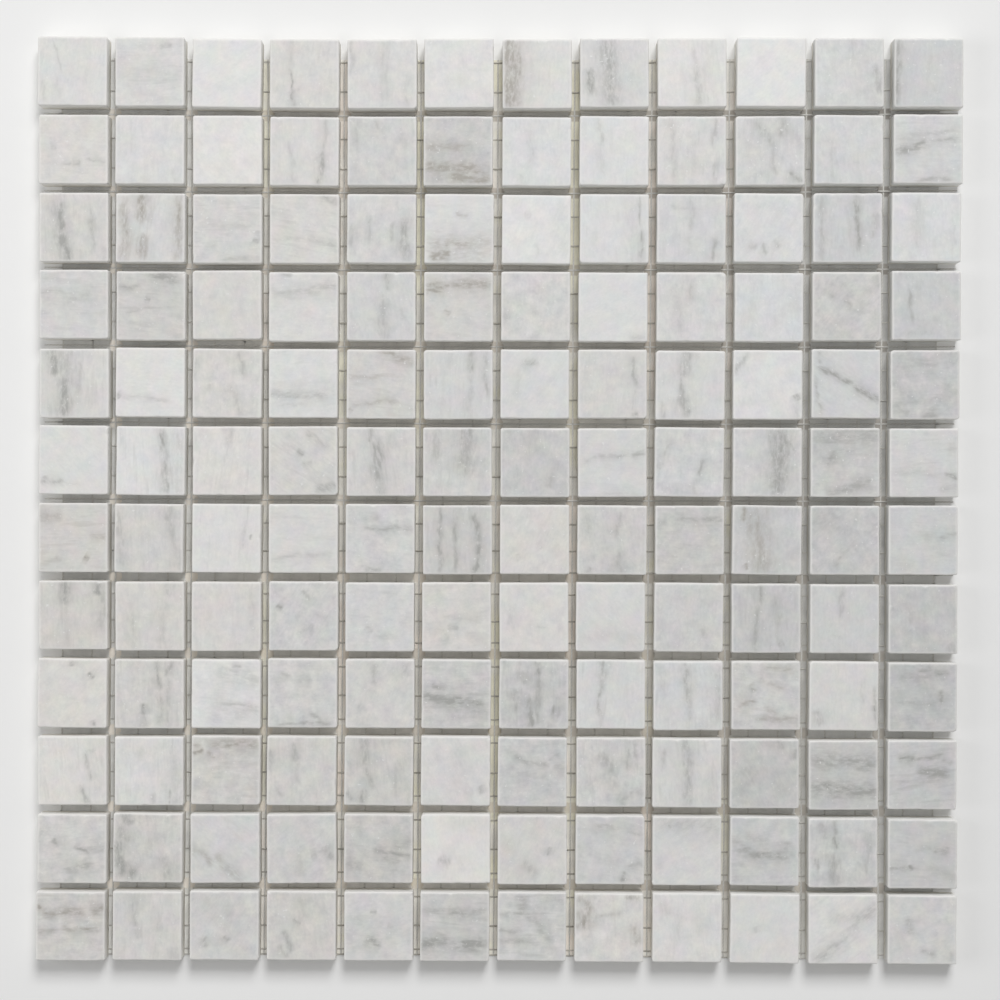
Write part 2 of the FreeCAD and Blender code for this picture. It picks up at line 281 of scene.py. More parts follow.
h20- -2.4,1.6,4,1.4:m4 4,1.4,8,1:b6 -11,-5.2,-4.4,-4.8:m6 -3.8,-3.8,-3.4,-5:m9 2,-5,11,-7.4:b4

h33 -11,6.4,-7.4,4:m8 -8,3.6,-3,5:b6 -3,4.4,4,4.2:b7 7.4,5,11,6:b7 -10.8,-1.8,-4.6,-1.8:m6
 -2.6,-.6,9.2,-1.6:m6 k
v21+ -4.4,10,-4.1,3.4:b4 -4.1,4,-3.8,0:m5 -3.6,-1,-2.8,-3.8:m4 3.2,2.4,3.4,-1.4:m3 8.6,-8,8.9,-11:b3
p12 -6.4,-4,-6.2,-6.8:m6 .4,-3.4,1.4,-4.8:m6 1.2,7,1,0:b3 -5,9,-6,2:w2
v12 -2.4,1.8,-.6,.8:m6 -5.6,-1.8,-4,-4.8:m6 -4,-4.6,-3.6,-8.4:m6 -7.4,-7,-4.6,-10:m5 -.6,9,0,3:b3
h12+ -3.8,-4.4,0,-6:b7 -2.4,4.8,-1,4.6:m5 -11,-2.2,11,-2.6:w2 -7.6,2.4,-4.6,.2:b3 3.4,.4,4.6,0:m4
h32 -11,-6,-6.8,-5:b9 -7.6,-4.2,-2.6,-5:b8 2.6,-5.8,8.6,-4.8:b9 -2.6,-6.4,11,-5.6:b6
 -10.8,5,-2.4,4.8:m5 -2.6,4.2,10,5.2:b6
h33 -4.4,9.4,-2.4,5:b6 -1.8,4.8,6.2,-4.6:b5 -10.8,4.2,-2,4.4:m5 -11,-1.2,-4,-2:m5 -11,-4,0,-4.8:m6
 3.4,9,11,8:b4
v13+ -9.6,9,-7,7:b6 -6.8,7,-7.4,0:b7 -10,5,-9.8,0:b5 8,0,9.4,-4.6:b6 -5,3.8,4,5:m4 5.6,9.8,9.4,9.7:m6 k
v11++ -2.4,4,-3.4,-4:b2 -8.8,8,-6,4.4:m3 3.8,3,3.9,-1:b2
p00++ -3.2,.2,-2.8,-1:m4
r11++ -9.4,-10.6,-1,-5:b5 -1,-4.8,4.6,1.8:b4 4.4,1.8,11.3,7.8:b5 -4,4.4,5.6,3.2:b3
p02+ -4.6,3.4,-4.2,-1:b5 0,-6,4,-8:m5 9,-7.6,9.6,-9.6:m4
"""
GRAIN_ANGLES_DEG = {"v": 90, "h": 0, "r": 42, "f": -32, "p": 60}
STRONGEST_GRAIN = 3
VEIN_WIDTHS = {"t": 0.36, "m": 0.75, "b": 1.45, "w": 2.8}
DARKEST_VEIN = 9
VEIN_DARKNESS_POWER = 1.25

# Colours
COOL_STONE = (0.630, 0.640, 0.648, 1)
WARM_STONE = (0.680, 0.658, 0.624, 1)
GREY_VEIN = (0.345, 0.345, 0.33, 1)
BROWN_VEIN = (0.36, 0.338, 0.305, 1)
BRIGHT_FLECK = (0.80, 0.80, 0.79, 1)
# Eased edges: paler from rubbing, and paler still as a painted highlight along every edge
RUBBED_EDGE_AND_PAINTED_HIGHLIGHT = (0.83, 0.82, 0.795, 1)
# Sawn sides: pale from sawing, and painted paler still as light that would shine through the stone
COOL_SAWN_SIDE_AND_PAINTED_LIGHT = (0.913, 0.918, 0.898, 1)
WARM_SAWN_SIDE_AND_PAINTED_LIGHT = (0.928, 0.908, 0.876, 1)
GLUE_AND_PAINTED_LIGHT_AT_FOOT = (0.985, 0.95, 0.86, 1)
GLUE_ON_BACK = (0.60, 0.585, 0.53, 1)
GLUE_ON_YARN = (0.69, 0.68, 0.65, 1)
WARP_YARN = ((0.70, 0.68, 0.63, 1), (0.78, 0.76, 0.71, 1))
WEFT_YARN = ((0.44, 0.42, 0.37, 1), (0.66, 0.635, 0.58, 1))
GREYISH_GLUE = (0.715, 0.698, 0.655, 1)
OLIVE_GLUE = (0.728, 0.705, 0.585, 1)
PINKISH_GLUE = (0.745, 0.685, 0.625, 1)
GLUE_BETWEEN_ROWS = (0.750, 0.730, 0.690, 1)
GLUE_TOWARDS_SIDES = (0.695, 0.695, 0.680, 1)
GLUE_AT_CROSSINGS = (0.730, 0.640, 0.530, 1)
FLOOR_COLOUR = (0.86, 0.86, 0.855, 1)

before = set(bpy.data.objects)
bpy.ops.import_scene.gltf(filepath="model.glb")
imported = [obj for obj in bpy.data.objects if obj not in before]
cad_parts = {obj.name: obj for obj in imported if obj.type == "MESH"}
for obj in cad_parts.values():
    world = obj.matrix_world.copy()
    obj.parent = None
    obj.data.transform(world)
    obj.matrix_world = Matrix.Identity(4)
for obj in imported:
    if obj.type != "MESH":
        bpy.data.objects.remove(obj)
cad_low, cad_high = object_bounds()
SHEET_HALF_MM = cad_high.x / MM


def smooth(value):
    """0 to 1 in, 0 to 1 out, level at both ends."""
    value = np.clip(value, 0, 1)
    return value * value * (3 - 2 * value)


def read_chips():
    """The chips' words as one dict each, in order."""
    chips = []
    for line in CHIPS.replace("\n ", " ").split("\n"):
        words = line.split()
        if not words:
            continue
        head = words[0]
        chip = {"grain_deg": GRAIN_ANGLES_DEG[head[0]]}
        chip["streaks"] = int(head[1]) / STRONGEST_GRAIN
        chip["clouds"] = int(head[2]) / STRONGEST_GRAIN
        chip["tone"] = head.count("+") - head.count("-")
        chip["brown"] = 1.0 if words[-1] == "k" else 0.0
        chip["veins"] = []
        for word in words[1:]:
            if word == "k":
                continue
            ends, look = word.split(":")
            x1, y1, x2, y2 = [float(number) for number in ends.split(",")]
            width = VEIN_WIDTHS[look[0]]
            strength = (int(look[1]) / DARKEST_VEIN) ** VEIN_DARKNESS_POWER
            chip["veins"].append((x1, y1, x2, y2, width, strength))
        chips.append(chip)
    return chips


def chip_outline(half, radii):
    """Points round a square with rounded corners, counter-clockwise."""
    points = []
    for quarter in range(4):
        turn = math.pi / 2 * quarter
        out = np.array([math.cos(turn), math.sin(turn)])
        along = np.array([-math.sin(turn), math.cos(turn)])
        start, end = -half + radii[quarter - 1], half - radii[quarter]
        for share in (np.arange(POINTS_PER_SIDE) + 0.5) / POINTS_PER_SIDE:
            points.append(out * half + along * (start + (end - start) * share))
        centre = (out + along) * (half - radii[quarter])
        for share in (np.arange(POINTS_PER_CORNER) + 0.5) / POINTS_PER_CORNER:
            angle = turn + math.pi / 2 * share
            direction = np.array([math.cos(angle), math.sin(angle)])
            points.append(centre + direction * radii[quarter])
    return np.array(points)


def arris_widths(count, rng):
    """How wide the eased edge is at each point of the outline, with its nicks."""
    steps = np.arange(count) / count
    widths = np.full(count, ARRIS)
    for waves in (2, 5, 11):
        widths += ARRIS * 0.09 * np.sin(2 * np.pi * (waves * steps + rng.random()))
    widths += rng.normal(0, ARRIS * 0.07, count)
    for _ in range(rng.integers(2, NICKS_PER_CHIP + 1)):
        at = rng.integers(count)
        apart = np.abs((np.arange(count) - at + count / 2) % count - count / 2)
        depth = rng.uniform(*NICK_DEPTHS) * rng.random()
        widths += depth * np.exp(-(apart / rng.uniform(*NICK_REACHES)) ** 2)
    return np.clip(widths, LEAST_ARRIS, MOST_ARRIS)


def make_chip(chip, rng, thickness):
    """Points, faces and paint of one chip about its centre, with its face at z = 0. Millimetres."""
    half = chip["half"]
    radii = rng.normal(CORNER_RADIUS, CORNER_JITTER, 4).clip(LEAST_CORNER, MOST_CORNER)
    radii = np.where(rng.random(4) < BROKEN_CORNER_SHARE, BROKEN_CORNER_RADIUS, radii)
    outline = chip_outline(half, radii)
    count = len(outline)
    arris = arris_widths(count, rng)
    wave = np.sin(np.arange(count) / count * 2 * np.pi * 6 + rng.random() * 6) * 0.03
    foot = 0.10 + 0.08 * rng.random(count)
    # Rings from the foot up: how far in from the outline, height, how rubbed and brightened as painted
    # highlight, how much it is face
    rings = [
        (foot, -thickness, 0, 0),
        (foot * 0.15, -thickness + 0.22, 0, 0),
        (0.05 + wave, -thickness * 0.5, 0, 0),
        (0.03 + wave * 0.5, -arris * 1.35, 0.2, 0),
        (arris * 0.30, -arris * 0.52, 1, 0.3),
        (arris * 0.78, -arris * 0.12, 1, 0.8),
        (arris * 1.25, 0, 0.45, 1),
        (arris * 1.25 + 0.5, 0, 0, 1),
        (arris * 1.25 + 1.2, 0, 0, 1),
    ]
    points, paint = [], []
    for inward, height, rubbed_and_highlit, face in rings:
        flat = outline * (1 - np.reshape(np.broadcast_to(inward, count), (count, 1)) / half)
        points.append(np.column_stack([flat, np.broadcast_to(height, count)]))
        paint.append(np.tile([rubbed_and_highlit, face], (count, 1)))
    points.append([[0, 0, -thickness], [0, 0, 0]])
    paint.append([[0, 0], [0, 1]])
    points, paint = np.vstack(points), np.vstack(paint)
    bottom, top = len(points) - 2, len(points) - 1
    faces, is_smooth, finishes = [], [], []
    for ring in range(len(rings) - 1):
        for index in range(count):
            after = (index + 1) % count
            low, high = ring * count, (ring + 1) * count
            faces.append((low + index, low + after, high + after, high + index))
            is_smooth.append(0 < ring < len(rings) - 2)
            finishes.append(SIDE_FINISH if ring < FIRST_ARRIS_RING else FACE_FINISH)
    last = (len(rings) - 1) * count
    for index in range(count):
        after = (index + 1) % count
        faces.append((after, index, bottom))
        faces.append((last + index, last + after, top))
        is_smooth += [False, False]
        finishes += [BACK_FINISH, FACE_FINISH]
    return points, faces, is_smooth, finishes, paint


def stone_paint(chip, points, rng):
    """Values that the marble's colours are worked out from, at each point of a chip."""
    turn = math.radians(chip["grain_deg"] + rng.normal(0, 4))
    if chip["streaks"] == 0:
        turn += rng.uniform(-1, 1)
    along = points[:, 0] * math.cos(turn) + points[:, 1] * math.sin(turn)
    across = -points[:, 0] * math.sin(turn) + points[:, 1] * math.cos(turn)
    stone = np.column_stack([across, along, points[:, 2]]) + rng.uniform(50, 900, 3)
    veins = np.tile(NO_VEIN, (MOST_VEINS, len(points), 1))
    lean = rng.uniform(-0.5, 0.5)
    for number, (x1, y1, x2, y2, width, strength) in enumerate(chip["veins"]):
        start, end = np.array([x1, y1]), np.array([x2, y2])
        middle, reach = (start + end) / 2, end - start
        length = max(np.hypot(*reach), 0.2)
        run = reach / length
        offset = points[:, :2] - middle
        veins[number, :, 0] = offset @ np.array([-run[1], run[0]]) + lean * points[:, 2]
        veins[number, :, 1] = offset @ run / (length / 2 + width * 0.7)
        veins[number, :, 2] = width
        veins[number, :, 3] = strength
    traits = [chip["streaks"], chip["clouds"], chip["warmth"], chip["brown"]]
    return stone, veins, np.tile(traits, (len(points), 1))


def add_values(mesh, name, kind, values):
    """Store values for each vertex, which the materials read."""
    field = "vector" if kind == "FLOAT_VECTOR" else "color"
    attribute = mesh.attributes.new(name, kind, "POINT")
    attribute.data.foreach_set(field, np.asarray(values, np.float32).ravel())


def make_mesh(name, points, faces, smooth_faces, *materials):
    """A new object from points in millimetres."""
    mesh = bpy.data.meshes.new(name)
    mesh.from_pydata((np.asarray(points) * MM).tolist(), [], faces)
    mesh.polygons.foreach_set("use_smooth", smooth_faces)
    for material in materials:
        mesh.materials.append(material)
    mesh.update()
    piece = bpy.data.objects.new(name, mesh)
    bpy.context.scene.collection.objects.link(piece)
    return piece


def settle(x, y, half_sheet):
    """Where a point of the flexible net ended up, for its place on an even grid. Millimetres."""
    u, v = x / half_sheet, y / half_sheet
    x = x - 0.84 - 1.55 * u + 0.16 * v + 1.03 * u * u + 0.49 * u * v - 0.11 * v * v
    x += 0.44 * u ** 3 + 0.71 * u * v * v
    y = y - 0.42 + 0.15 * u - 0.65 * v + 0.12 * u * u + 0.67 * u * v + 0.23 * v * v
    y += 1.07 * u * u * v
    return x, y


def net_slip(chip_y):
    """How far the upper yarns have slipped under the row at this y."""
    lines, _ = yarn_lines("net_weft_yarns", 1)
    wanted = chip_y + YARN_FROM_CHIP_CENTRE
    return float(lines[np.argmin(np.abs(lines - wanted - HALF_SLIP))] - wanted)


def make_row(node, number, looks, materials):
    """One row of twelve chips in place of its solids."""
    low, high = [np.array(corner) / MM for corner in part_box(node)]
    side = high[1] - low[1]
    pitch = (high[0] - low[0] - side) / (CHIPS_PER_ROW - 1)
    half_sheet = (high[0] - low[0]) / 2
    all_points, all_faces, all_smooth, all_finishes = [], [], [], []
    all_paint, all_stone, all_veins, all_traits = [], [], [], []
    start = 0
    for column in range(CHIPS_PER_ROW):
        rng = np.random.default_rng([SEED, number, column])
        chip = dict(looks[column])
        chip["half"] = (side - SIDE_LOSS * rng.random()) / 2
        x = low[0] + side / 2 + pitch * column
        y = (low[1] + high[1]) / 2
        chip["warmth"] = (
            rng.normal(0, WARMTH_JITTER)
            + WARMTH_TO_THE_RIGHT * x / half_sheet
            + WARMTH_TO_THE_TOP * y / half_sheet
        )
        tone = rng.normal(0, TONE_JITTER) + chip["tone"]
        drop = FACE_DROP * rng.random()
        thickness = high[2] - low[2] - drop
        points, faces, is_smooth, finishes, paint = make_chip(chip, rng, thickness)
        stone, veins, traits = stone_paint(chip, points, rng)
        place = points.copy()
        place[:, 1] -= net_slip(y)
        slopes = rng.normal(0, FACE_SLOPE, 2)
        tilt = points[:, :2] @ slopes - np.abs(slopes).sum() * chip["half"]
        lift = tilt * (points[:, 2] + thickness) / thickness
        turn = math.radians(rng.normal(0, TURN_JITTER_DEG))
        cos, sin = math.cos(turn), math.sin(turn)
        x, y = settle(x, y, half_sheet)
        x += rng.normal(0, PLACE_JITTER)
        y += rng.normal(0, PLACE_JITTER)
        reach = chip["half"] * (cos + abs(sin))
        x = np.clip(x, -half_sheet + reach, half_sheet - reach)
        y = np.clip(y, -half_sheet + reach, half_sheet - reach)
        world = np.column_stack([
            x + points[:, 0] * cos - points[:, 1] * sin,
            y + points[:, 0] * sin + points[:, 1] * cos,
            high[2] - drop + points[:, 2] + lift,
        ])
        all_points.append(world)
        all_faces += [tuple(start + corner for corner in face) for face in faces]
        all_smooth += is_smooth
        all_finishes += finishes
        all_paint.append(np.column_stack([paint, np.full(len(points), tone)]))
        all_stone.append(np.hstack([stone, place]))
        all_veins.append(veins)
        all_traits.append(traits)
        start += len(points)
    name = "marble_row_%02d" % number
    piece = make_mesh(name, np.vstack(all_points), all_faces, all_smooth, *materials)
    piece.data.polygons.foreach_set("material_index", all_finishes)
    stone = np.vstack(all_stone)
    add_values(piece.data, "stone", "FLOAT_VECTOR", stone[:, :3])
    add_values(piece.data, "chip_place", "FLOAT_VECTOR", stone[:, 3:])
    add_values(piece.data, "finish", "FLOAT_VECTOR", np.vstack(all_paint))
    add_values(piece.data, "traits", "FLOAT_COLOR", np.vstack(all_traits))
    veins = np.concatenate(all_veins, axis=1)
    for vein in range(MOST_VEINS):
        add_values(piece.data, "vein_%d" % vein, "FLOAT_COLOR", veins[vein])
    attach(piece, BODY)
    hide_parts(node)


def yarn_lines(node, axis):
    """Middle of each yarn of a node, across the way the yarns run, and a yarn's width."""
    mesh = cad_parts[node].data
    values = sorted({round(vertex.co[axis] / MM, 3) for vertex in mesh.vertices})
    lines, group = [], [values[0]]
    for value in values[1:] + [None]:
        if value is None or value - group[-1] > 1.0:
            lines.append((group[0] + group[-1]) / 2)
            width = group[-1] - group[0]
            group = []
        if value is not None:
            group.append(value)
    return np.array(lines), width


def from_joint(place):
    """How far a place lies from the middle of the nearest joint, in millimetres."""
    return abs(place - PITCH_MM * round(place / PITCH_MM))


def tube_faces(start, rings, sides, inside_out):
    """Faces round a tube of rings of points, and its two ends."""
    faces = []
    for low in range(start, start + (rings - 1) * sides, sides):
        high = low + sides
        for index in range(sides):
            after = (index + 1) % sides
            faces.append((low + index, low + after, high + after, high + index))
    last = start + (rings - 1) * sides
    faces.append(tuple(range(start, start + sides))[::-1])
    faces.append(tuple(range(last, last + sides)))
    return [face[::-1] for face in faces] if inside_out else faces


def make_yarns(name, node, across, crossing_lines, first_over, material):
    """All yarns of one direction, woven over and under the other ones."""
    along = 1 - across
    low, high = [np.array(corner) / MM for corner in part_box(node)]
    lines, width = yarn_lines(node, across)
    thick = high[2] - low[2]
    between_layers = thick
    stations, levels = [low[along]], [0.0]
    for index, line in enumerate(crossing_lines):
        stations.append(line)
        levels.append(1.0 if index % 2 else -1.0)
    stations.append(high[along])
    levels.append(0.0)
    stations, order = np.unique(stations, return_index=True)
    levels = np.array(levels)[order]
    samples = []
    for before, after in zip(stations[:-1], stations[1:]):
        steps = STEPS_BETWEEN_CROSSINGS if after - before > 2 else 2
        samples += list(before + (after - before) * np.arange(steps) / steps)
    samples = np.array(samples + [stations[-1]])
    spot = np.searchsorted(stations, samples, side="right").clip(1, len(stations) - 1)
    share = smooth((samples - stations[spot - 1]) / (stations[spot] - stations[spot - 1]))
    heights = levels[spot - 1] + (levels[spot] - levels[spot - 1]) * share
    angles = np.arange(YARN_SIDES) / YARN_SIDES * 2 * np.pi
    points, faces, turns = [], [], []
    start = 0
    for number, line in enumerate(lines):
        rng = np.random.default_rng([SEED, across, number])
        side = 1.0 if (number + first_over) % 2 else -1.0
        in_joint = 1.0 if from_joint(line) < 1.0 else 0.0
        bow = YARN_BOW * np.sin(samples / rng.uniform(24, 40) + rng.random() * 6)
        swell = 1 - 0.10 * rng.random() + 0.06 * np.sin(samples / 3.1 + rng.random() * 6)
        for index, sample in enumerate(samples):
            half_width = width / 2 * min(swell[index], 1.0)
            offset = bow[index] * (1 if 1 < number < len(lines) - 1 else 0)
            for angle in angles:
                point = [0.0, 0.0, 0.0]
                point[across] = line + offset + half_width * math.cos(angle)
                point[along] = sample
                level = between_layers + side * heights[index] * thick / 2
                point[2] = level + thick / 2 * math.sin(angle)
                points.append(point)
                turns.append((angle, sample + PATTERN_STEP * number, point[0], in_joint))
        faces += tube_faces(start, len(samples), YARN_SIDES, inside_out=not across)
        start = len(points)
    points = np.array(points)
    points[:, 0], points[:, 1] = settle(points[:, 0], points[:, 1], SHEET_HALF_MM)
    points = np.clip(points, low, high)
    piece = make_mesh(name, points, faces, [len(face) == 4 for face in faces], material)
    add_values(piece.data, "yarn", "FLOAT_COLOR", turns)
    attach(piece, BODY)
    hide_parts(node)


def make_glue(material):
    """Dried glue that closes the net along the joints and climbs a little at the chips' feet."""
    low, high = [np.array(corner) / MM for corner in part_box("net_warp_yarns")]
    rng = np.random.default_rng([SEED, 7])
    points, spots, faces = [], [], []
    for along in (0, 1):
        samples = [step * PITCH_MM + station for step in range(-6, 6) for station in GLUE_STATIONS]
        samples = [low[along]] + [s for s in samples if low[along] < s < high[along]] + [high[along]]
        sunk = GLUE_STEP * (1 - along)
        for joint in JOINT_NUMBERS:
            start = len(points)
            for sample in samples:
                swell = 1 + rng.normal(0, 0.05)
                crossing = from_joint(sample) < CROSSING_REACH
                for out, height, crossing_height in GLUE_SECTION:
                    point = [0.0, 0.0, (crossing_height if crossing else height) - sunk]
                    point[along] = sample
                    point[1 - along] = joint * PITCH_MM + out * swell
                    points.append(point)
                    spots.append((point[0], point[1], along, crossing and height > GLUE_UNDERSIDE))
            faces += tube_faces(start, len(samples), len(GLUE_SECTION), inside_out=bool(along))
    points = np.array(points)
    points[:, 0], points[:, 1] = settle(points[:, 0], points[:, 1], SHEET_HALF_MM)
    points = np.clip(points, low, high)
    piece = make_mesh("glue_film", points, faces, [False] * len(faces), material)
    add_values(piece.data, "spot", "FLOAT_COLOR", spots)
    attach(piece, BODY)


class Shader:
    """Short names for the nodes of one material."""

    def __init__(self, name):
        self.material = bpy.data.materials.new(name)
        self.material.use_nodes = True
        self.tree = self.material.node_tree
        self.principled = self.tree.nodes["Principled BSDF"]

    def put(self, socket, value):
        """Link a node's result to the socket, or set the socket's own value."""
        if isinstance(value, bpy.types.NodeSocket):
            self.tree.links.new(value, socket)
        else:
            socket.default_value = value

    def surface(self, name, value):
        """Put a value on one of the surface's own sockets."""
        self.put(self.principled.inputs[name], value)

    def math(self, operation, *values, clamp=False):
        node = self.tree.nodes.new("ShaderNodeMath")
        node.operation = operation
        node.use_clamp = clamp
        for socket, value in zip(node.inputs, values):
            self.put(socket, value)
        return node.outputs[0]

    def add(self, *values):
        total = values[0]
        for value in values[1:]:
            total = self.math("ADD", total, value)
        return total

    def times(self, *values):
        total = values[0]
        for value in values[1:]:
            total = self.math("MULTIPLY", total, value)
        return total

    def ramp(self, value, low, high, to_low=0.0, to_high=1.0):
        """A smooth step between two results as the value goes from low to high."""
        node = self.tree.nodes.new("ShaderNodeMapRange")
        node.interpolation_type = "SMOOTHSTEP"
        for socket, item in zip(node.inputs, (value, low, high, to_low, to_high)):
            self.put(socket, item)
        return node.outputs[0]

    def values(self, name):
        """A stored colour's three parts and its alpha, and its vector."""
        node = self.tree.nodes.new("ShaderNodeAttribute")
        node.attribute_name = name
        parts = self.tree.nodes.new("ShaderNodeSeparateXYZ")
        self.put(parts.inputs[0], node.outputs["Vector"])
        return [*parts.outputs, node.outputs["Alpha"]], node.outputs["Vector"]

    def stretch(self, vector, scale):
        node = self.tree.nodes.new("ShaderNodeVectorMath")
        node.operation = "MULTIPLY"
        self.put(node.inputs[0], vector)
        self.put(node.inputs[1], scale)
        return node.outputs[0]

    def noise(self, vector, scale, detail=3.0, roughness=0.55):
        """Noise about 0, mostly from -0.5 to 0.5."""
        node = self.tree.nodes.new("ShaderNodeTexNoise")
        self.put(node.inputs["Vector"], vector)
        node.inputs["Scale"].default_value = scale
        node.inputs["Detail"].default_value = detail
        node.inputs["Roughness"].default_value = roughness
        return self.math("MULTIPLY", self.math("SUBTRACT", node.outputs[0], 0.5), 2.0)

    def mix(self, factor, first, second):
        node = self.tree.nodes.new("ShaderNodeMix")
        node.data_type = "RGBA"
        for number, value in ((0, factor), (6, first), (7, second)):
            self.put(node.inputs[number], value)
        return node.outputs[2]

    def brighten(self, colour, factor):
        """The colour times a number."""
        node = self.tree.nodes.new("ShaderNodeVectorMath")
        node.operation = "SCALE"
        self.put(node.inputs[0], colour)
        self.put(node.inputs["Scale"], factor)
        return node.outputs[0]

    def tinge(self, colour, vector, scale, strength):
        """The colour with its red, green and blue each a little up or down from place to place."""
        noise = self.tree.nodes.new("ShaderNodeTexNoise")
        self.put(noise.inputs["Vector"], vector)
        noise.inputs["Scale"].default_value = scale
        noise.inputs["Detail"].default_value = 1.0
        change = self.tree.nodes.new("ShaderNodeVectorMath")
        change.operation = "MULTIPLY_ADD"
        self.put(change.inputs[0], noise.outputs["Color"])
        change.inputs[1].default_value = (strength, strength, strength)
        change.inputs[2].default_value = (1 - strength / 2, 1 - strength / 2, 1 - strength / 2)
        return self.stretch(colour, change.outputs[0])

    def bump(self, height, distance):
        node = self.tree.nodes.new("ShaderNodeBump")
        node.inputs["Distance"].default_value = distance
        self.put(node.inputs["Height"], height)
        return node.outputs[0]


def marble_veins(shader, stone):
    """How much vein there is at a point, from 0 to 1."""
    slow = shader.noise(stone, 0.17, 1.0)
    quick = shader.noise(shader.stretch(stone, (1.0, 0.5, 1.0)), 0.8, 2.0)
    wander = shader.add(shader.times(slow, 1.5), shader.times(quick, 0.55))
    cores, bands = 0.0, 0.0
    for vein in range(MOST_VEINS):
        (across, along, width, strength), _ = shader.values("vein_%d" % vein)
        offset = shader.math("DIVIDE", shader.add(across, wander), width)
        core = shader.math("EXPONENT", shader.times(offset, offset, -1.0))
        band = shader.math("POWER", core, 0.15)
        ends = shader.times(shader.ramp(shader.math("ABSOLUTE", along), 1.25, 0.55), strength)
        cores = shader.math("MAXIMUM", cores, shader.times(core, ends))
        bands = shader.math("MAXIMUM", bands, shader.times(band, ends))
    wisps = shader.noise(shader.stretch(stone, (1.0, 0.40, 1.0)), 0.85, 3.0, 0.68)
    cores = shader.times(cores, shader.ramp(wisps, -0.38, 0.32, 0.16, 0.80))
    return shader.add(cores, shader.times(bands, shader.ramp(wisps, -0.5, 0.5, 0.26, 0.44)))


def stone_colour(shader, stone, fineness):
    """Colour of pale marble with clouds, streaks along its grain and veins; and the clouds alone."""
    (streaks, clouds, warmth, brown), _ = shader.values("traits")
    (_, _, tone, _), _ = shader.values("finish")
    mottle = shader.noise(stone, 0.26, 2.0 + fineness, 0.66)
    grained = shader.stretch(stone, (1.0, 0.16, 1.0))
    streak = shader.noise(grained, 0.50, 2.0, 0.55)
    light = shader.add(
        1.0,
        shader.times(tone, 0.066),
        shader.times(mottle, shader.add(shader.times(clouds, 0.15), 0.09)),
        shader.times(streak, shader.add(shader.times(streaks, 0.10), 0.05)),
    )
    if fineness:
        smudges = shader.noise(shader.stretch(stone, (1.0, 0.6, 1.0)), 1.1, 2.0, 0.65)
        light = shader.add(light, shader.times(smudges, 0.09))
    tint = shader.add(shader.times(warmth, 0.5), shader.times(mottle, 0.8))
    ground = shader.mix(shader.ramp(tint, -1.2, 1.2), COOL_STONE, WARM_STONE)
    ground = shader.brighten(ground, light)
    if fineness:
        ground = shader.tinge(ground, stone, 0.16, 0.10)
    darker = shader.times(shader.ramp(streak, 0.03, 0.50), shader.add(shader.times(streaks, 0.30), 0.05))
    amount = shader.add(shader.times(marble_veins(shader, stone), 0.92), darker)
    vein_colour = shader.mix(brown, GREY_VEIN, BROWN_VEIN)
    return shader.mix(shader.math("MINIMUM", amount, 0.9), ground, vein_colour), mottle


def make_face_material():
    """The honed faces and their eased edges."""
    shader = Shader("marble_face")
    _, stone = shader.values("stone")
    (rubbed_and_highlit, face, _, _), _ = shader.values("finish")
    colour, mottle = stone_colour(shader, stone, 1.0)
    flecks = shader.ramp(shader.noise(stone, 0.95, 1.0, 0.5), 0.40, 0.60)
    colour = shader.mix(shader.times(flecks, 0.6), colour, BRIGHT_FLECK)
    # Painted highlight: the eased edges and the rim below them take a paler colour, partly rubbed stone
    # and partly a painted highlight.
    off_face = shader.math("SUBTRACT", 1.0, face)
    edge = shader.math("MAXIMUM", shader.times(rubbed_and_highlit, 0.75), off_face, clamp=True)
    shader.surface("Base Color", shader.mix(edge, colour, RUBBED_EDGE_AND_PAINTED_HIGHLIGHT))
    rough = shader.add(0.47, shader.times(edge, 0.12), shader.times(mottle, 0.05))
    shader.surface("Roughness", rough)
    return shader.material


def make_side_material():
    """The sawn sides: paler than the face, partly from sawing and partly as painted light in place of
    light that shines through the stone, painted lighter still towards their feet, with saw marks.
    """
    shader = Shader("marble_side")
    _, stone = shader.values("stone")
    (_, _, warmth, _), _ = shader.values("traits")
    (_, _, depth, _), _ = shader.values("chip_place")
    colour, mottle = stone_colour(shader, stone, 0.0)
    tint = shader.add(shader.times(warmth, 0.6), shader.times(mottle, 0.8))
    powder_and_painted_light = shader.mix(shader.ramp(tint, -1.0, 1.0), COOL_SAWN_SIDE_AND_PAINTED_LIGHT, WARM_SAWN_SIDE_AND_PAINTED_LIGHT)
    # Painted light: the sides get paler towards their feet, for glue and for the light that lifts the
    # shade at the bottom of the joints.
    glue_and_painted_foot_light = shader.ramp(shader.add(depth, shader.times(mottle, 1.5)), -3.5, -7.0)
    powder_and_painted_light = shader.mix(glue_and_painted_foot_light, powder_and_painted_light, GLUE_AND_PAINTED_LIGHT_AT_FOOT)
    shader.surface("Base Color", shader.mix(0.68, colour, powder_and_painted_light))
    shader.surface("Roughness", 0.75)
    saw_marks = shader.noise(shader.stretch(stone, (0.6, 0.6, 4.0)), 1.0, 2.0, 0.6)
    shader.surface("Normal", shader.bump(saw_marks, 0.00004))
    return shader.material


